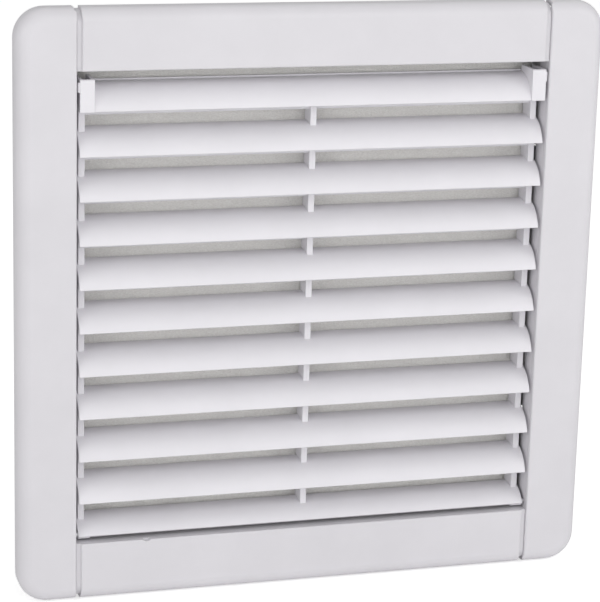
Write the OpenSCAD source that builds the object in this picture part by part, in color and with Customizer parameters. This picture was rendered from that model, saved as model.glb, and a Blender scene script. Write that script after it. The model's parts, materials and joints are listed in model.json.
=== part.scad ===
// Louvred air grille with a filter mat, for a square cut-out in a cabinet wall.
// Front faces -Y, +Z is up. The origin is the centre of the rear mounting face,
// which lies in the plane Y = 0 and seats on the wall.
// Parts are drawn lying on their backs: X across, Y up the wall, and Z the height
// in front of the mounting face. upright() then stands them up.

/* [Front] */
// Width and height of the square front
face_size = 250; // [246:1:256]
// How far the front stands out from the mounting face
face_depth = 12; // [12:0.5:13]
// Corner radius of the front, seen from the front
corner_r = 12.5; // [10:0.5:14]
// Rounding of the outer front edge
edge_r = 5.5; // [3:0.5:6]
// Wall thickness of the front mouldings
front_wall = 2.2; // [2:0.1:2.4]
// Width of the opening between the side covers
opening_w = 201.4; // [200.6:0.2:202]
// Height of the opening between the rails
opening_h = 199.5; // [199:0.5:200]
// Rounding of the edges around the opening and the grooves
lip_r = 0.6; // [0.4:0.1:0.8]
// Width of the groove between a rail and a side cover
groove_w = 2.1; // [1.6:0.1:2.6]
// Depth of that groove
groove_depth = 1.1; // [1:0.1:1.6]

/* [Louvres] */
// Number of blades
blade_count = 11; // [11]
// Distance from one blade to the next
blade_pitch = 18.4; // [18.3:0.05:18.5]
// Outer radius of a blade's curve
blade_r = 13.7; // [13.4:0.1:13.9]
// Thickness of a blade
blade_t = 1.8; // [1.6:0.1:1.9]
// Gap between the louvre panel and the side walls of the opening
side_gap = 1.3; // [1.1:0.1:1.5]
// Thickness of the three upright ribs
rib_t = 2.6; // [2.2:0.1:3]
// Width of the grip at each end of the top blade
grip_w = 6; // [5:0.5:8]

/* [Housing] */
// Outside width of the spigot that passes through the wall
spigot_size = 211; // [211:0.5:212]
// How far the spigot reaches behind the mounting face
spigot_depth = 18; // [18:0.5:22]
// Wall thickness of the spigot
spigot_wall = 2.4; // [2.4:0.1:2.5]
// Thickness of the flange
flange_t = 3; // [3:0.1:3.2]
// Thickness of the filter mat
filter_t = 9.4; // [8:0.2:9.4]
// Number of bars each way in the rear grid
grid_bars = 9; // [7:2:11]

/* [Fixing] */
// Distance across between the fixing holes
fixing_x = 232; // [231:1:233]
// Distance up between the fixing holes
fixing_z = 200; // [180:5:200]
// Radius of the fixing holes
fixing_r = 2.25; // [2:0.05:2.4]

/* [Hidden] */
// Clip places: name, side (-1 left, 1 right) and rise (-1 lower, 1 upper)
CLIPS = [["upper_left", -1, 1], ["lower_left", -1, -1],
         ["upper_right", 1, 1], ["lower_right", 1, -1]];
$fn = 48;

half = face_size / 2;
open_x = opening_w / 2;
open_y = opening_h / 2;
rear_gap = 2.2;               // front mouldings stop this far short of the wall
gap = 0.15;                   // clearance between parts that come apart
inner_edge_r = max(edge_r - front_wall, 0.8);

// Louvre panel, measured from the mounting face: positive is towards the front
panel_half_w = open_x - side_gap;
arc_height = face_depth - 13.9;      // centre of a blade's curve, in depth
first_arc_y = open_y - 19.75;        // centre of the top blade's curve
tip_angle = 76;                      // from straight up, towards the front
last_tip_angle = 60;                 // the bottom blade is cut short
back_angle = -7;
rib_front = face_depth - 8;
rib_back = face_depth - 16.5;
rib_x = panel_half_w - 0.8 - rib_t / 2;
panel_bottom = -open_y + 1.15;
bar_front = face_depth - 9.5;        // tie bar behind each blade's front edge
bar_t = 1.6;
bar_h = 2.5;
bar_rise = 0.7;
top_lip = 0.7;                       // raised edge along the back of the top blade
grip_front = face_depth - 0.4;
grip_top = open_y - 3.3;
grip_bottom = first_arc_y + 3.2;
grip_wall = 1.3;
grip_round = 1;

// Hinge of the louvre panel, along X near its bottom edge
hinge_y = -open_y + 2.85;
hinge_z = face_depth - 4.6;
pin_r = 1.2;
pin_clear = 0.05;
pin_head_r = 2.1;
pin_head_t = 1;
boss_r = 1.85;
boss_len = 5;
bearing_r = 2.1;
bearing_len = 2;

// Collar of the front frame and the flange behind it
collar_wall = 2.2;
collar_front = face_depth - 2.4;
collar_back = 1;
rail_half = open_x - groove_w;       // half the length of a raised rail
step_half = open_x - gap;            // half the length with the groove floors
flange_half = half - 4;
flange_corner = 9;
spigot_half = spigot_size / 2;
spigot_in = spigot_half - spigot_wall;
gasket_in = 106.5;
gasket_out = 111.5;
gasket_t = 1.5;

// Screws that hold the front frame to the housing, driven from behind
frame_screw_x = 60;
frame_screw_y = 116.5;
frame_screw_r = 1.35;
frame_hole_r = 1.7;
frame_head_r = 3;
frame_head_t = 1.65;
frame_boss_r = 3.4;
frame_screw_len = 8;

// Pegs that hold a side cover
peg_x = 111;
peg_r = 2.5;
peg_clear = 0.05;
peg_socket_r = 4.2;
peg_socket_top = 8.6;
peg_rise = [-75, 0, 75];

// Spring clips that grip behind the wall
clip_rise = 55;                      // above and below the middle
clip_w = 8;
clip_window = 14;
clip_pin_z = -13.4;
clip_pin_x = spigot_half - 1.2;
clip_pin_r = 1;
clip_eye_r = 1.6;
clip_t = 0.8;
clip_len = 11;
clip_flare = 20;                     // degrees outward at rest
spring_wire_r = 0.3;
spring_coil_r = 1.42;
spring_turns = 4;

// Filter and rear grid
filter_front = -5.1;
filter_half = 101.8;
grid_t = 2.6;
grid_rim = 4;
grid_bar = 1.6;

// Small half-round notch in the edge of the bottom rail
notch_x = -70.6;
notch_r = 2.2;
notch_rise = 1.4;

plastic = "#dcdbe0";
shaded_plastic = "#d2d1d4";
steel = "#b9bcc0";
foam = "#3a3b3d";
mat_white = "#cfccc2";

module upright() {
    rotate([90, 0, 0]) children();
}

// A piece drawn on the right, and its mirror image on the left
module both_ends() {
    children();
    mirror([1, 0, 0]) children();
}

// A square with round corners
module rounded_square(h, r) {
    square([2 * (h - r), 2 * h], center = true);
    square([2 * h, 2 * (h - r)], center = true);
    for (x = [-1, 1], y = [-1, 1])
        translate([x * (h - r), y * (h - r)]) circle(r);
}

module slab(h, r, low, high) {
    translate([0, 0, low]) linear_extrude(high - low) rounded_square(h, r);
}

// Half section of the raised front: x from the corner's centre outward, y the height
module edge_section(r, e, low, high) {
    translate([0, low]) square([r, high - low - e]);
    intersection() {
        union() {
            square([r - e, high]);
            translate([r - e, high - e]) circle(e);
        }
        translate([0, low]) square([r, high - low]);
    }
}

// A square block whose front edge is rounded all the way round
module pillow(h, r, e, low, high) {
    straight = 2 * (h - r);
    translate([0, 0, (low + high) / 2])
        cube([straight, straight, high - low], center = true);
    for (turn = [0:90:270])
        rotate(turn) {
            translate([h - r, h - r, 0])
                rotate_extrude(angle = 90) edge_section(r, e, low, high);
            translate([h - r, straight / 2, 0])
                rotate([90, 0, 0]) linear_extrude(straight) edge_section(r, e, low, high);
        }
}

module front_outer() {
    pillow(half, corner_r, edge_r, rear_gap, face_depth);
}

module front_hollow() {
    pillow(half - front_wall, corner_r - front_wall, inner_edge_r, rear_gap - 1,
           face_depth - front_wall);
}

// The shell of the whole front before it is cut into rails and covers
module front_shell() {
    difference() {
        front_outer();
        front_hollow();
    }
}

// ---- Front frame: rails, groove floors and the collar of the opening ----

// Extruded section of a rail's inner edge, with its rounded lip
module rail_lip(length) {
    lip_depth = face_depth - collar_front;
    translate([length / 2, open_y, 0]) rotate([0, -90, 0]) linear_extrude(length) {
        translate([face_depth - lip_depth, 0]) square([lip_depth - lip_r, collar_wall]);
        translate([face_depth - lip_depth, lip_r])
            square([lip_depth, collar_wall - lip_r]);
        translate([face_depth - lip_r, lip_r]) circle(lip_r);
    }
}

module rail_end_round() {
    translate([rail_half - lip_r, open_y + lip_r, face_depth - lip_r])
        rotate([-90, 0, 0]) cylinder(r = lip_r, h = half - open_y);
}

module rail() {
    // raised part between the grooves, its ends rounded where they meet the front
    intersection() {
        front_shell();
        union() {
            translate([-rail_half, open_y + lip_r, -1])
                cube([2 * rail_half, half, face_depth - lip_r + 1]);
            translate([-rail_half + lip_r, open_y + lip_r, -1])
                cube([2 * (rail_half - lip_r), half, face_depth + 2]);
            both_ends() rail_end_round();
        }
    }
    // the inner lip
    rail_lip(2 * rail_half);
    // groove floors, one step lower than the front, carried over the outer edge
    both_ends() groove_floor();
    // end webs that close the rail behind each groove
    both_ends() intersection() {
        front_outer_lowered();
        translate([step_half - front_wall, open_y, flange_t])
            cube([front_wall, half, face_depth]);
    }
}

// The front's outline lowered by the groove's depth
module front_outer_lowered() {
    pillow(half - groove_depth, corner_r, edge_r, rear_gap, face_depth - groove_depth);
}

module groove_floor() {
    floor_len = step_half - rail_half + front_wall;
    intersection() {
        difference() {
            front_outer_lowered();
            pillow(half - groove_depth - front_wall, corner_r - front_wall, inner_edge_r,
                   rear_gap - 1, face_depth - groove_depth - front_wall);
        }
        translate([step_half - floor_len, open_y, -1]) cube([floor_len, half, face_depth]);
    }
}

module collar() {
    difference() {
        union() {
            translate([0, 0, (collar_front + collar_back) / 2])
                cube([2 * (open_x + collar_wall), 2 * (open_y + collar_wall),
                      collar_front - collar_back], center = true);
            // foot that stands on the flange
            translate([0, 0, flange_t + 1])
                cube([2 * (open_x + 6), 2 * (open_y + 8), 2], center = true);
            both_ends() translate([open_x, hinge_y, hinge_z])
                rotate([0, 90, 0]) cylinder(r = bearing_r, h = collar_wall + bearing_len);
        }
        cube([opening_w, opening_h, 3 * face_depth], center = true);
        both_ends() translate([open_x - 1, hinge_y, hinge_z])
            rotate([0, 90, 0]) cylinder(r = pin_r, h = collar_wall + bearing_len + 2);
    }
}

module frame_bosses() {
    for (x = [-1, 1], y = [-1, 1])
        translate([x * frame_screw_x, y * frame_screw_y, flange_t])
            cylinder(r = frame_boss_r, h = face_depth - front_wall - flange_t);
}

module front_frame() {
    color(plastic) upright() difference() {
        union() {
            rail();
            mirror([0, 1, 0]) rail();
            collar();
            frame_bosses();
        }
        for (x = [-1, 1], y = [-1, 1])
            translate([x * frame_screw_x, y * frame_screw_y, flange_t - 1])
                cylinder(r = frame_screw_r, h = frame_screw_len - flange_t + 1.5);
        // notch in the edge of the bottom rail
        translate([notch_x, -open_y + notch_rise, face_depth - 2])
            cylinder(r = notch_r, h = 3);
    }
}

// ---- Side covers ----

// Section across a cover, x outward from the middle of the grille
module cover_section() {
    lip_depth = face_depth - collar_front - gap;
    translate([open_x + lip_r, rear_gap]) square([half, face_depth - rear_gap]);
    translate([open_x, face_depth - lip_depth]) square([lip_r, lip_depth - lip_r]);
    translate([open_x + lip_r, face_depth - lip_r]) circle(lip_r);
}

// Pegs behind the cover's face, which push into sockets in the housing
module cover_pegs() {
    for (y = peg_rise)
        translate([peg_x, y, flange_t + 0.5])
            cylinder(r = peg_r, h = face_depth - front_wall - flange_t);
}

module side_cover() {
    difference() {
        intersection() {
            front_outer();
            translate([0, half, 0]) rotate([90, 0, 0]) linear_extrude(face_size)
                cover_section();
        }
        front_hollow();
    }
    cover_pegs();
}

module side_cover_right() {
    color(plastic) upright() side_cover();
}

module side_cover_left() {
    color(plastic) upright() mirror([1, 0, 0]) side_cover();
}

// ---- Louvre panel ----

function sector_points(radius, from, to) =
    concat([[0, 0]], [for (i = [0:4]) radius * [cos(from + (to - from) * i / 4),
                                                sin(from + (to - from) * i / 4)]]);

// Section of one blade: x is up, y is towards the front
module blade_section(tip) {
    intersection() {
        difference() {
            circle(blade_r, $fn = 96);
            circle(blade_r - blade_t, $fn = 96);
        }
        polygon(sector_points(2 * blade_r, back_angle, tip));
    }
}

// Extrude a section drawn as (up, forward) along X, centred on x
module along_x(length, x = 0) {
    translate([x - length / 2, 0, 0]) rotate([90, 0, 90]) linear_extrude(length) children();
}

module blades() {
    for (i = [0:blade_count - 1])
        along_x(2 * panel_half_w)
            translate([first_arc_y - i * blade_pitch, arc_height])
                blade_section(i < blade_count - 1 ? tip_angle : last_tip_angle);
}

module tie_bars() {
    for (i = [0:blade_count - 2])
        along_x(2 * rib_x)
            translate([first_arc_y - i * blade_pitch + bar_rise, bar_front - bar_t])
                square([bar_h, bar_t]);
}

// A rib ends under the curve of the top blade
module rib_section() {
    rib_depth = rib_front - rib_back;
    translate([panel_bottom, rib_back]) square([first_arc_y - panel_bottom, rib_depth]);
    intersection() {
        translate([first_arc_y, arc_height]) circle(blade_r - 0.5, $fn = 96);
        translate([first_arc_y, rib_back]) square([2 * blade_r, rib_depth]);
    }
}

// Low edge that stands up along the back of the top blade
module top_edge() {
    along_x(2 * rib_x)
        translate([first_arc_y + blade_r - 1, arc_height - 2.2]) square([1 + top_lip, 1.2]);
}

// Finger grip at an end of the top blade: a flat front with a rounded top
module grip_section() {
    translate([grip_bottom, arc_height])
        square([grip_top - grip_bottom - grip_round, grip_front - arc_height]);
    translate([grip_bottom, arc_height])
        square([grip_top - grip_bottom, grip_front - arc_height - grip_round]);
    translate([grip_top - grip_round, grip_front - grip_round]) circle(grip_round);
}

// Pocket behind the grip's front, open at the top and closed below by the blade
module grip_pocket() {
    difference() {
        translate([grip_bottom, arc_height - 1])
            square([grip_top - grip_bottom + 1, grip_front - grip_wall - arc_height + 1]);
        translate([first_arc_y, arc_height]) circle(blade_r - 0.4, $fn = 96);
    }
}

module grips() {
    snap_r = 1;
    snap_len = 4;
    both_ends() {
        difference() {
            along_x(grip_w, panel_half_w - grip_w / 2) grip_section();
            along_x(grip_w - 2 * grip_wall, panel_half_w - grip_w / 2) grip_pocket();
        }
        // rounded nub near the grip's front, which snaps against the side wall
        translate([panel_half_w - 0.1, grip_top - snap_len - 1.2, grip_front - snap_r - 0.2])
            rotate([-90, 0, 0]) cylinder(r = snap_r, h = snap_len);
    }
}

// Blocks under the bottom blade's ends that carry the hinge bores
module hinge_blocks() {
    both_ends() {
        translate([panel_half_w - boss_len, hinge_y, hinge_z])
            rotate([0, 90, 0]) cylinder(r = boss_r, h = boss_len);
        along_x(rib_t, rib_x)
            translate([panel_bottom, rib_front - 1])
                square([boss_r + 1, hinge_z - rib_front + 1]);
    }
}

module louvre_panel() {
    color(plastic) upright() difference() {
        union() {
            blades();
            tie_bars();
            for (x = [-rib_x, 0, rib_x])
                along_x(rib_t, x) rib_section();
            top_edge();
            grips();
            hinge_blocks();
        }
        both_ends() translate([panel_half_w - boss_len + 0.8, hinge_y, hinge_z])
            rotate([0, 90, 0]) cylinder(r = pin_r + pin_clear, h = boss_len);
    }
}

module hinge_pin() {
    start = panel_half_w - boss_len + 1.2;
    end = open_x + collar_wall + bearing_len;
    translate([start, hinge_y, hinge_z]) rotate([0, 90, 0]) {
        cylinder(r = pin_r, h = end - start);
        translate([0, 0, end - start]) cylinder(r = pin_head_r, h = pin_head_t);
    }
}

module hinge_pin_right() {
    color(steel) upright() hinge_pin();
}

module hinge_pin_left() {
    color(steel) upright() mirror([1, 0, 0]) hinge_pin();
}

// ---- Housing: flange and spigot ----

module clip_places() {
    for (x = [-1, 1], y = [-1, 1])
        scale([x, 1, 1]) translate([0, y * clip_rise, 0]) children();
}

module mounting_frame() {
    color(shaded_plastic) upright() difference() {
        union() {
            slab(flange_half, flange_corner, 0, flange_t);
            slab(spigot_half, 3, -spigot_depth, flange_t);
            // sockets for the cover pegs
            both_ends() for (y = peg_rise)
                translate([peg_x, y, 0]) cylinder(r = peg_socket_r, h = peg_socket_top);
        }
        slab(spigot_in, 1.5, -spigot_depth - 1, flange_t + 1);
        // groove for the gasket
        difference() {
            slab(gasket_out, 4, -1, gasket_t);
            slab(gasket_in, 3, -2, gasket_t + 1);
        }
        // holes for the fixing screws
        for (x = [-1, 1], y = [-1, 1])
            translate([x * fixing_x / 2, y * fixing_z / 2, -1])
                cylinder(r = fixing_r, h = flange_t + 2);
        // countersunk holes for the frame screws
        for (x = [-1, 1], y = [-1, 1])
            translate([x * frame_screw_x, y * frame_screw_y, 0]) {
                translate([0, 0, -1]) cylinder(r = frame_hole_r, h = flange_t + 2);
                cylinder(r1 = frame_head_r, r2 = frame_screw_r, h = frame_head_t);
            }
        both_ends() for (y = peg_rise)
            translate([peg_x, y, flange_t]) cylinder(r = peg_r + peg_clear, h = face_depth);
        // windows for the clips, with blind holes for their pins
        clip_places() {
            translate([spigot_in - 1, -clip_window / 2, -spigot_depth + 1.4])
                cube([spigot_wall + 2, clip_window, spigot_depth - 3.4]);
            translate([clip_pin_x, -clip_window / 2 - 2, clip_pin_z])
                rotate([-90, 0, 0]) cylinder(r = clip_pin_r, h = clip_window + 4);
        }
    }
}

module gasket() {
    color(foam) upright() difference() {
        slab(gasket_out, 4, 0, gasket_t);
        slab(gasket_in, 3, -1, gasket_t + 1);
    }
}

module filter_mat() {
    color(mat_white) upright() slab(filter_half, 2, filter_front - filter_t, filter_front);
}

module rear_grid() {
    grid_half = spigot_in;
    low = -spigot_depth;
    pitch = 2 * (grid_half - grid_rim / 2) / (grid_bars + 1);
    color(plastic) upright() {
        difference() {
            slab(grid_half, 1.5, low, low + grid_t);
            slab(grid_half - grid_rim, 1.5, low - 1, low + grid_t + 1);
        }
        for (i = [1:grid_bars]) {
            at = -grid_half + grid_rim / 2 + i * pitch;
            translate([at - grid_bar / 2, -grid_half + 1, low])
                cube([grid_bar, 2 * grid_half - 2, grid_t]);
            translate([-grid_half + 1, at - grid_bar / 2, low])
                cube([2 * grid_half - 2, grid_bar, grid_t]);
        }
    }
}

// ---- Fasteners, clips and springs ----

module frame_screws() {
    color(steel) upright()
        for (x = [-1, 1], y = [-1, 1])
            translate([x * frame_screw_x, y * frame_screw_y, 0]) {
                cylinder(r = frame_screw_r, h = frame_screw_len);
                cylinder(r1 = frame_head_r, r2 = frame_screw_r, h = frame_head_t);
            }
}

// One clip at the right-hand wall: a rolled eye with a leaf that flares outward
module clip_leaf() {
    leaf_x = clip_eye_r - clip_t - 0.15;
    translate([clip_pin_x, 0, clip_pin_z]) rotate([90, 0, 0])
        linear_extrude(clip_w, center = true) difference() {
            union() {
                circle(clip_eye_r);
                rotate(-clip_flare) translate([leaf_x, 0]) square([clip_t, clip_len]);
            }
            circle(clip_pin_r + pin_clear);
        }
}

module clip_pin() {
    translate([clip_pin_x, -clip_window / 2 - 2, clip_pin_z])
        rotate([-90, 0, 0]) cylinder(r = clip_pin_r, h = clip_window + 4);
}

// Torsion spring: close coils round the pin beside the clip's eye
module clip_spring() {
    translate([clip_pin_x, clip_w / 2 + 0.4, clip_pin_z]) rotate([-90, 0, 0])
        for (i = [0:spring_turns - 1])
            translate([0, 0, spring_wire_r * (1 + 1.8 * i)]) rotate_extrude()
                translate([spring_coil_r, 0]) circle(spring_wire_r, $fn = 24);
}

// Put a piece drawn at the right-hand wall in one of the four clip places
module at_clip(clip) {
    color(steel) upright() scale([clip[1], 1, 1]) translate([0, clip[2] * clip_rise, 0])
        children();
}

front_frame();
mounting_frame();
rear_grid();
filter_mat();
gasket();
side_cover_left();
side_cover_right();
louvre_panel();
hinge_pin_left();
hinge_pin_right();
frame_screws();
for (clip = CLIPS) {
    at_clip(clip) clip_leaf();
    at_clip(clip) clip_pin();
    at_clip(clip) clip_spring();
}
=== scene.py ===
"""Looks for the louvred air grille: softened mouldings, a fibre filter mat, light and camera.

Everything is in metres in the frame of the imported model: -Y is the front, +Z is up, and the
mounting face lies in the plane Y = 0.
"""
import json
import math
import random

import bmesh
import bpy
from mathutils import Matrix, Vector, noise


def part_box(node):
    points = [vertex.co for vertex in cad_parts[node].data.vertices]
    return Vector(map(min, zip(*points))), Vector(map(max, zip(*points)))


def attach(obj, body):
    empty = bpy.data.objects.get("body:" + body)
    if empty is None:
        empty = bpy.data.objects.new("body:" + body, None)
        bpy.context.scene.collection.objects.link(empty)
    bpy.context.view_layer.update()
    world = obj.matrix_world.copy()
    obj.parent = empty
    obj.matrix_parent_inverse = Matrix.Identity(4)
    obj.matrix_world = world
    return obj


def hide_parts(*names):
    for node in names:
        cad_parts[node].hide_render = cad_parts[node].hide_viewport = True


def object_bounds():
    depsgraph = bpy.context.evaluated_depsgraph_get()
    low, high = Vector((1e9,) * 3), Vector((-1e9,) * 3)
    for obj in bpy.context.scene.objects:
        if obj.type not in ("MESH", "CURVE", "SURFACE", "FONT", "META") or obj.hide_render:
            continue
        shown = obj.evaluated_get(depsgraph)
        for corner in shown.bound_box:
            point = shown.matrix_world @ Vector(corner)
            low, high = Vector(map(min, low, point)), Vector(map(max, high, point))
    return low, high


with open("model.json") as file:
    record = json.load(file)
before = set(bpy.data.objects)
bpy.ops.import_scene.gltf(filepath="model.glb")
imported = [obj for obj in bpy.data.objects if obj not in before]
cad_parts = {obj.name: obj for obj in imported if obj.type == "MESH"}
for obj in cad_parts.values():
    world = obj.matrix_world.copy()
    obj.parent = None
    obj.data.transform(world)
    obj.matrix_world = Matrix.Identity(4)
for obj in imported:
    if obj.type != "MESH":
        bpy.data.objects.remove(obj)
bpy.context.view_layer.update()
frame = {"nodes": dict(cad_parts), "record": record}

MM = 0.001
CORNERS = ("upper_left", "lower_left", "upper_right", "lower_right")
WHITE = (1, 1, 1, 1)

# strength of the surroundings: as light on the grille, and as the camera sees them
WORLD_LIGHT, WORLD_SEEN = 0.51, 1.05
FLOOR_GLOW, FLOOR_SEEN = 0.055, 0.52


# ---------------------------------------------------------------- camera and stage

def make_camera():
    """The viewpoint: left of the grille and above its middle, aimed near its centre."""
    azimuth = math.radians(16.6)
    elevation = math.radians(15.0)
    roll = math.radians(1.53)
    distance = 0.9896
    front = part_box("side_cover_left")[0].y
    target = Vector((-0.0061, front, 0.0011))
    away = Vector((-math.sin(azimuth) * math.cos(elevation),
                   -math.cos(azimuth) * math.cos(elevation), math.sin(elevation)))
    data = bpy.data.cameras.new("camera")
    data.sensor_fit = "HORIZONTAL"
    data.sensor_width = 36
    data.lens = 142.06
    data.clip_start = 0.01
    camera = bpy.data.objects.new("camera", data)
    turn = (-away).to_track_quat("-Z", "Y").to_matrix()
    turn = Matrix.Rotation(roll, 3, away) @ turn
    camera.matrix_world = Matrix.Translation(target + away * distance) @ turn.to_4x4()
    bpy.context.scene.collection.objects.link(camera)
    bpy.context.scene.camera = camera


def area_light(name, position, size, power):
    """A soft rectangular light, aimed at the middle of the grille."""
    data = bpy.data.lights.new(name, "AREA")
    data.shape = "RECTANGLE"
    data.size, data.size_y = size
    data.energy = power
    light = bpy.data.objects.new(name, data)
    light.location = position
    light.rotation_euler = Vector(position).to_track_quat("Z", "Y").to_euler()
    bpy.context.scene.collection.objects.link(light)


def make_lights():
    """Soft boxes in front and on both sides, with weak ones overhead and near the top."""
    area_light("front_box", (0.0, -1.6, 0.1), (1.6, 1.3), 6.2)
    area_light("left_box", (-1.4, -1.1, 0.3), (0.9, 1.3), 7.0)
    area_light("right_box", (1.4, -1.1, 0.3), (0.9, 1.3), 7.0)
    area_light("top_box", (0.0, 0.0, 1.5), (1.4, 1.0), 1.8)
    area_light("near_box", (0.25, -0.85, 0.6), (0.6, 0.45), 0.95)


def seen_or_lit(tree, strength, as_light, as_seen):
    """Drive a strength socket with one value for the camera and another for other rays."""
    path = tree.nodes.new("ShaderNodeLightPath")
    choice = tree.nodes.new("ShaderNodeMapRange")
    choice.inputs["To Min"].default_value = as_light
    choice.inputs["To Max"].default_value = as_seen
    tree.links.new(path.outputs["Is Camera Ray"], choice.inputs["Value"])
    tree.links.new(choice.outputs["Result"], strength)


def make_world():
    """White to the camera, a softer grey as light on the object."""
    world = bpy.data.worlds.new("studio")
    world.use_nodes = True
    background = world.node_tree.nodes["Background"]
    background.inputs["Color"].default_value = WHITE
    seen_or_lit(world.node_tree, background.inputs["Strength"], WORLD_LIGHT, WORLD_SEEN)
    bpy.context.scene.world = world


def make_floor():
    """A plain pale floor just under the grille."""
    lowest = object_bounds()[0][2]
    mesh = bpy.data.meshes.new("floor")
    build = bmesh.new()
    bmesh.ops.create_grid(build, x_segments=1, y_segments=1, size=6)
    build.to_mesh(mesh)
    build.free()
    floor = bpy.data.objects.new("floor", mesh)
    floor.location = (0, 0, lowest - 0.5 * MM)
    bpy.context.scene.collection.objects.link(floor)
    material = bpy.data.materials.new("floor_white")
    material.use_nodes = True
    shader = material.node_tree.nodes["Principled BSDF"]
    shader.inputs["Base Color"].default_value = (0.9, 0.9, 0.9, 1)
    shader.inputs["Roughness"].default_value = 0.9
    shader.inputs["Emission Color"].default_value = WHITE
    seen_or_lit(material.node_tree, shader.inputs["Emission Strength"], FLOOR_GLOW, FLOOR_SEEN)
    mesh.materials.append(material)


# ---------------------------------------------------------------- materials

class Graph:
    """Short calls for building a material's node tree."""

    def __init__(self, name):
        self.material = bpy.data.materials.new(name)
        self.material.use_nodes = True
        self.nodes = self.material.node_tree.nodes
        self.links = self.material.node_tree.links
        self.shader = self.nodes["Principled BSDF"]
        self.coordinates = self.nodes.new("ShaderNodeTexCoord").outputs["Object"]

    def set(self, name, value):
        self.shader.inputs[name].default_value = value

    def noise(self, scale, detail=3.0, roughness=0.5, stretch=None):
        node = self.nodes.new("ShaderNodeTexNoise")
        node.inputs["Scale"].default_value = scale
        node.inputs["Detail"].default_value = detail
        node.inputs["Roughness"].default_value = roughness
        source = self.coordinates
        if stretch:
            mapping = self.nodes.new("ShaderNodeMapping")
            mapping.inputs["Scale"].default_value = stretch
            self.links.new(source, mapping.inputs["Vector"])
            source = mapping.outputs["Vector"]
        self.links.new(source, node.inputs["Vector"])
        return node.outputs["Fac"]

    def ramp(self, factor, stops):
        node = self.nodes.new("ShaderNodeValToRGB")
        for element, (position, colour) in zip(node.color_ramp.elements, stops):
            element.position = position
            element.color = colour
        self.links.new(factor, node.inputs["Fac"])
        return node.outputs["Color"]

    def span(self, factor, low, high):
        node = self.nodes.new("ShaderNodeMapRange")
        node.inputs["To Min"].default_value = low
        node.inputs["To Max"].default_value = high
        self.links.new(factor, node.inputs["Value"])
        return node.outputs["Result"]

    def bump(self, height, strength, distance, below=None):
        node = self.nodes.new("ShaderNodeBump")
        node.inputs["Strength"].default_value = strength
        node.inputs["Distance"].default_value = distance
        self.links.new(height, node.inputs["Height"])
        if below is not None:
            self.links.new(below, node.inputs["Normal"])
        return node.outputs["Normal"]

    def wire(self, output, name):
        self.links.new(output, self.shader.inputs[name])


def tint(colour, amount):
    """The colour made lighter or darker, as RGBA."""
    return tuple(min(1.0, c * amount) for c in colour) + (1.0,)


def moulded_plastic(name, colour, roughness, grain):
    """Light moulded plastic: cloudy tone, a fine spark-eroded grain and a soft sheen."""
    graph = Graph(name)
    cloud = graph.noise(34, 4, 0.6)
    graph.wire(graph.ramp(cloud, [(0.3, tint(colour, 0.975)), (0.7, tint(colour, 1.02))]),
               "Base Color")
    graph.wire(graph.span(graph.noise(260, 3), roughness - 0.05, roughness + 0.06), "Roughness")
    edges = graph.nodes.new("ShaderNodeBevel")
    edges.samples = 4
    edges.inputs["Radius"].default_value = 0.35 * MM
    fine = graph.bump(graph.noise(2600, 2, 0.6), grain, 0.04 * MM, edges.outputs["Normal"])
    graph.wire(graph.bump(graph.noise(60, 2), 0.05, 0.4 * MM, fine), "Normal")
    graph.set("IOR", 1.5)
    return graph.material


def fleece(name, colour):
    """Bonded synthetic fibre: long soft strands in a loose tangle."""
    graph = Graph(name)
    strands = graph.noise(900, 6, 0.75, (1, 1, 3))
    tangle = graph.noise(260, 5, 0.7, (2.5, 1, 1))
    graph.wire(graph.ramp(strands, [(0.25, tint(colour, 0.8)), (0.75, tint(colour, 1.1))]),
               "Base Color")
    deep = graph.bump(tangle, 0.7, 0.8 * MM)
    graph.wire(graph.bump(strands, 0.8, 0.4 * MM, deep), "Normal")
    graph.set("Roughness", 0.95)
    graph.set("Sheen Weight", 0.3)
    graph.set("Sheen Roughness", 0.6)
    return graph.material


def foam(name, colour):
    """Closed-cell foam: a dark skin pitted by its cells."""
    graph = Graph(name)
    cells = graph.noise(3200, 4, 0.7)
    graph.wire(graph.ramp(cells, [(0.3, tint(colour, 0.6)), (0.7, tint(colour, 1.6))]),
               "Base Color")
    graph.wire(graph.bump(cells, 0.9, 0.3 * MM), "Normal")
    graph.set("Roughness", 0.92)
    return graph.material


def metal(name, colour, roughness, stretch):
    """Drawn or rolled steel, with fine lines along its length."""
    graph = Graph(name)
    lines = graph.noise(700, 4, 0.6, stretch)
    graph.wire(graph.ramp(lines, [(0.3, tint(colour, 0.86)), (0.7, tint(colour, 1.08))]),
               "Base Color")
    graph.wire(graph.span(lines, roughness - 0.08, roughness + 0.1), "Roughness")
    graph.wire(graph.bump(lines, 0.25, 0.05 * MM), "Normal")
    graph.set("Metallic", 1.0)
    return graph.material


def make_materials():
    """One material for each slot of the record."""
    return {
        "frame_plastic": moulded_plastic("frame_plastic", (0.70, 0.685, 0.715), 0.42, 0.25),
        "louvre_plastic": moulded_plastic("louvre_plastic", (0.79, 0.775, 0.81), 0.4, 0.18),
        "housing_plastic": moulded_plastic("housing_plastic", (0.58, 0.575, 0.585), 0.48, 0.3),
        "filter_fleece": fleece("filter_fleece", (0.93, 0.905, 0.875)),
        "seal_foam": foam("seal_foam", (0.035, 0.035, 0.038)),
        "steel": metal("steel", (0.58, 0.58, 0.59), 0.32, (1, 1, 0.05)),
        "zinc_steel": metal("zinc_steel", (0.66, 0.66, 0.63), 0.38, (1, 0.05, 1)),
        "spring_steel": metal("spring_steel", (0.52, 0.53, 0.54), 0.28, (1, 0.1, 1)),
    }


def dress(materials):
    """Give every carried-over CAD node the material of its slot."""
    slots = {entry["node"]: entry["material_slot"] for entry in frame["record"]["subparts"]}
    for name, item in frame["nodes"].items():
        item.data.materials.clear()
        item.data.materials.append(materials[slots[name]])


# ---------------------------------------------------------------- pieces

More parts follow.
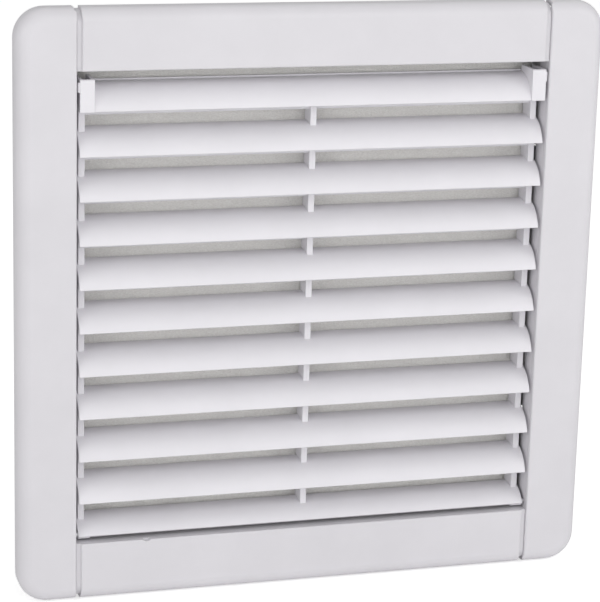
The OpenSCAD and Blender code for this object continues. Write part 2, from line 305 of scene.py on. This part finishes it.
def place(name, data, material, replaced=()):
    """Link a finished mesh or curve as a piece of the housing, in place of the CAD nodes named."""
    data.materials.append(material)
    piece = bpy.data.objects.new(name, data)
    bpy.context.scene.collection.objects.link(piece)
    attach(piece, "housing")
    if replaced:
        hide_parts(*replaced)
    return piece


def round_wire(name, radius, sides):
    """Curve data for round wire with closed ends."""
    data = bpy.data.curves.new(name, "CURVE")
    data.dimensions = "3D"
    data.bevel_depth = radius
    data.bevel_resolution = sides
    data.use_fill_caps = True
    return data


def add_spline(data, points):
    """Add a run of straight steps through the points to curve data."""
    spline = data.splines.new("POLY")
    spline.points.add(len(points) - 1)
    for spot, point in zip(spline.points, points):
        spot.co = (*point, 1)


def mesh_from(build, name, smooth=True):
    """Turn a bmesh into a mesh whose faces all look outward."""
    mesh = bpy.data.meshes.new(name)
    bmesh.ops.recalc_face_normals(build, faces=build.faces)
    build.to_mesh(mesh)
    build.free()
    mesh.polygons.foreach_set("use_smooth", [smooth] * len(mesh.polygons))
    return mesh


def middle_and_half(node):
    """The centre of a CAD node's box, and half its size."""
    low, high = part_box(node)
    return (low + high) / 2, (high - low) / 2


def mat_surface(u, v, side, middle, half):
    """A point on the filter mat: u and v run from -1 to 1, side is -1 in front and 1 behind."""
    front_room = 0.3 * MM
    side_room = 0.4 * MM
    rim = (1 - abs(u) ** 40) ** 0.25 * (1 - abs(v) ** 40) ** 0.25
    spot = Vector((u * half.x, side * 7 * MM, v * half.z))
    swell = 0.25 * MM * noise.noise(spot / (14 * MM))
    tufts = 0.22 * MM * noise.noise(spot / (3.2 * MM))
    depth = (half.y - front_room + swell + tufts) * rim
    wander = 0.5 * MM * noise.noise(spot / (9 * MM)) * (1 - rim)
    return middle + Vector((u * (half.x - side_room) + wander, side * depth,
                            v * (half.z - side_room) + wander))


def filter_mat(material):
    """The fibre mat: a springy flat pad with a tufted face and soft edges."""
    cells = 130
    middle, half = middle_and_half("filter_mat")
    build = bmesh.new()
    sides = []
    steps = [-1 + 2 * i / cells for i in range(cells + 1)]
    for side in (-1, 1):
        sides.append([[build.verts.new(mat_surface(u, v, side, middle, half)) for v in steps]
                      for u in steps])
    for rows in sides:
        for i in range(cells):
            for j in range(cells):
                build.faces.new((rows[i][j], rows[i + 1][j], rows[i + 1][j + 1], rows[i][j + 1]))
    bmesh.ops.remove_doubles(build, verts=build.verts, dist=0.001 * MM)
    piece = place("filter_mat_soft", mesh_from(build, "filter_mat_soft"), material,
                  ["filter_mat"])


def loose_fibres(material):
    """Single fibres that lie across both faces of the mat, their ends buried in it."""
    count = 420
    start_limit, limit = 0.93, 0.96
    stride = 0.014
    half_steps = 3
    proud, dip = 0.05 * MM, 0.25 * MM
    draw = random.Random(11)
    middle, half = middle_and_half("filter_mat")
    data = round_wire("filter_fibres", 0.07 * MM, 1)
    for index in range(count):
        side = -1 if index % 2 else 1
        u = draw.uniform(-start_limit, start_limit)
        v = draw.uniform(-start_limit, start_limit)
        heading = draw.gauss(0, 0.7)
        curl = draw.gauss(0, 0.35)
        points = []
        for step in range(-half_steps, half_steps + 1):
            point = mat_surface(u, v, side, middle, half)
            point.y += side * (proud - dip * abs(step) / half_steps)
            points.append(point)
            u = max(-limit, min(limit, u + stride * math.cos(heading)))
            v = max(-limit, min(limit, v + stride * math.sin(heading)))
            heading += curl
        add_spline(data, points)
    place("filter_fibres", data, material)


def rounded_square_path(half, radius, per_corner, per_side):
    """Points round a square with round corners, in the XZ plane, each with its outward way."""
    points = []
    for quarter in range(4):
        turn = quarter * math.pi / 2
        centre = Matrix.Rotation(turn, 2) @ Vector((half - radius, half - radius))
        for step in range(per_corner + 1):
            angle = turn + step / per_corner * math.pi / 2
            out = Vector((math.cos(angle), math.sin(angle)))
            points.append((centre + out * radius, out))
        end = points[-1]
        along = Vector((-end[1].y, end[1].x)) * 2 * (half - radius)
        for step in range(1, per_side):
            points.append((end[0] + along * step / per_side, end[1]))
    return points


def gasket(material):
    """Closed-cell foam strip in its groove, with rounded edges and a slightly uneven skin."""
    low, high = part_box("gasket")
    half_w = 2.5 * MM
    corner = 4 * MM
    edge = 0.45 * MM
    edge_steps = 3
    foot_room, foot_lift = 0.05 * MM, 0.02 * MM
    side_room = 0.1 * MM
    unevenness, settle = 0.12 * MM, 0.06 * MM
    thick = high.y - low.y
    path = rounded_square_path(high.x - half_w, corner, 8, 70)
    section = [(-half_w + foot_room, low.y + foot_lift)]
    for centre, first in ((-1, 180), (1, 90)):
        for step in range(edge_steps + 1):
            angle = math.radians(first - step * 90 / edge_steps)
            section.append((centre * (half_w - side_room - edge) + edge * math.cos(angle),
                            high.y - edge + edge * math.sin(angle)))
    section.append((half_w - foot_room, low.y + foot_lift))
    build = bmesh.new()
    rings = []
    for point, out in path:
        ring = []
        for across, deep in section:
            flat = point + out * across
            spot = Vector((flat.x, deep, flat.y))
            lift = unevenness * noise.noise(spot / (2.5 * MM)) * (deep - low.y) / thick
            spot.y += lift - settle
            ring.append(build.verts.new(spot))
        rings.append(ring)
    for i, ring in enumerate(rings):
        after = rings[(i + 1) % len(rings)]
        for j in range(len(ring)):
            k = (j + 1) % len(ring)
            build.faces.new((ring[j], after[j], after[k], ring[k]))
    place("gasket_strip", mesh_from(build, "gasket_strip"), material, ["gasket"])


def clip_spring(corner, material):
    """Torsion spring: close turns of wire with one leg on the clip and one on the wall."""
    node = "clip_spring_" + corner
    middle, half = middle_and_half(node)
    wire = 0.3 * MM
    radius = half.x - wire
    rise = half.z - wire
    turns = 4
    per_turn = 18
    count = turns * per_turn
    out = 1 if middle.x > 0 else -1
    coil = []
    for step in range(count + 1):
        angle = 2 * math.pi * step / per_turn
        around = Vector((out * radius * math.cos(angle), -radius * math.sin(angle),
                         rise * (2 * step / count - 1)))
        coil.append(middle + around)
    clip_way = Vector((out * 0.25, -1.7, 0)) * MM
    wall_way = Vector((0, -1.5, 0.1)) * MM
    leg_on_clip = [coil[0] + clip_way * i for i in (3, 2, 1)]
    leg_on_wall = [coil[-1] + wall_way * i for i in (1, 2)]
    data = round_wire(node + "_coil", wire * 0.93, 3)
    add_spline(data, leg_on_clip + coil + leg_on_wall)
    place(node + "_coil", data, material, [node])


def circle_points(radius, count):
    return [Vector((radius * math.cos(2 * math.pi * i / count),
                    radius * math.sin(2 * math.pi * i / count))) for i in range(count)]


def cross_points(arm, width):
    """The outline of a plus sign, anticlockwise."""
    outline = []
    for quarter in range(4):
        turn = Matrix.Rotation(quarter * math.pi / 2, 2)
        outline += [turn @ Vector((arm, -width)), turn @ Vector((arm, width)),
                    turn @ Vector((width, width))]
    return outline


def ring_of(build, centre, outline, shift):
    """New vertices on a flat outline round the centre, shifted along Y."""
    return [build.verts.new(centre + Vector((p.x, shift, p.y))) for p in outline]


def wall_between(build, before, after):
    """Faces between two rings that have the same number of vertices."""
    for i in range(len(before)):
        k = (i + 1) % len(before)
        build.faces.new((before[i], before[k], after[k], after[i]))


def ring_edges(build, ring):
    return [build.edges.get((ring[i], ring[(i + 1) % len(ring)])) for i in range(len(ring))]


def screw(build, centre, reach, head_r):
    """A countersunk screw seen from behind, with a tapered cross recess and a thread."""
    count = 32
    face_y = -0.02 * MM
    head_y = -1.6 * MM
    shank_r = 1.32 * MM
    half_pitch = 0.5 * MM
    stations = [(head_r - 0.12 * MM, face_y), (head_r - 0.03 * MM, -0.14 * MM),
                (shank_r, head_y)]
    for step in range(1, int((reach - 2.2 * MM) / half_pitch)):
        cut = 0.3 * MM if step % 2 else 0.02 * MM
        stations.append((shank_r - cut, head_y - step * half_pitch))
    stations.append((0.3 * MM, -reach + 0.05 * MM))
    rings = [ring_of(build, centre, circle_points(radius, count), y) for radius, y in stations]
    for before, after in zip(rings, rings[1:]):
        wall_between(build, before, after)
    build.faces.new(rings[-1])
    recess = cross_points(1.55 * MM, 0.38 * MM)
    rim = ring_of(build, centre, recess, face_y)
    floor = ring_of(build, centre, [point * 0.45 for point in recess], -1.1 * MM)
    wall_between(build, rim, floor)
    build.faces.new(floor)
    edges = ring_edges(build, rim) + ring_edges(build, rings[0])
    bmesh.ops.triangle_fill(build, use_beauty=True, edges=edges)


def frame_screws(material):
    """The four screws that hold the front frame, driven from behind."""
    low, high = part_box("frame_screws")
    head_r = 2.95 * MM
    inset = 3 * MM
    build = bmesh.new()
    for x in (low.x + inset, high.x - inset):
        for z in (low.z + inset, high.z - inset):
            screw(build, Vector((x, high.y, z)), high.y - low.y, head_r)
    mesh = mesh_from(build, "frame_screws_cross", smooth=False)
    place("frame_screws_cross", mesh, material, ["frame_screws"])


def make_pieces(materials):
    """The pieces that stand for plain CAD solids."""
    filter_mat(materials["filter_fleece"])
    loose_fibres(materials["filter_fleece"])
    gasket(materials["seal_foam"])
    frame_screws(materials["zinc_steel"])
    for corner in CORNERS:
        clip_spring(corner, materials["spring_steel"])


make_camera()
make_world()
make_lights()
make_floor()
materials = make_materials()
dress(materials)
make_pieces(materials)
bpy.context.scene.view_settings.view_transform = "Standard"
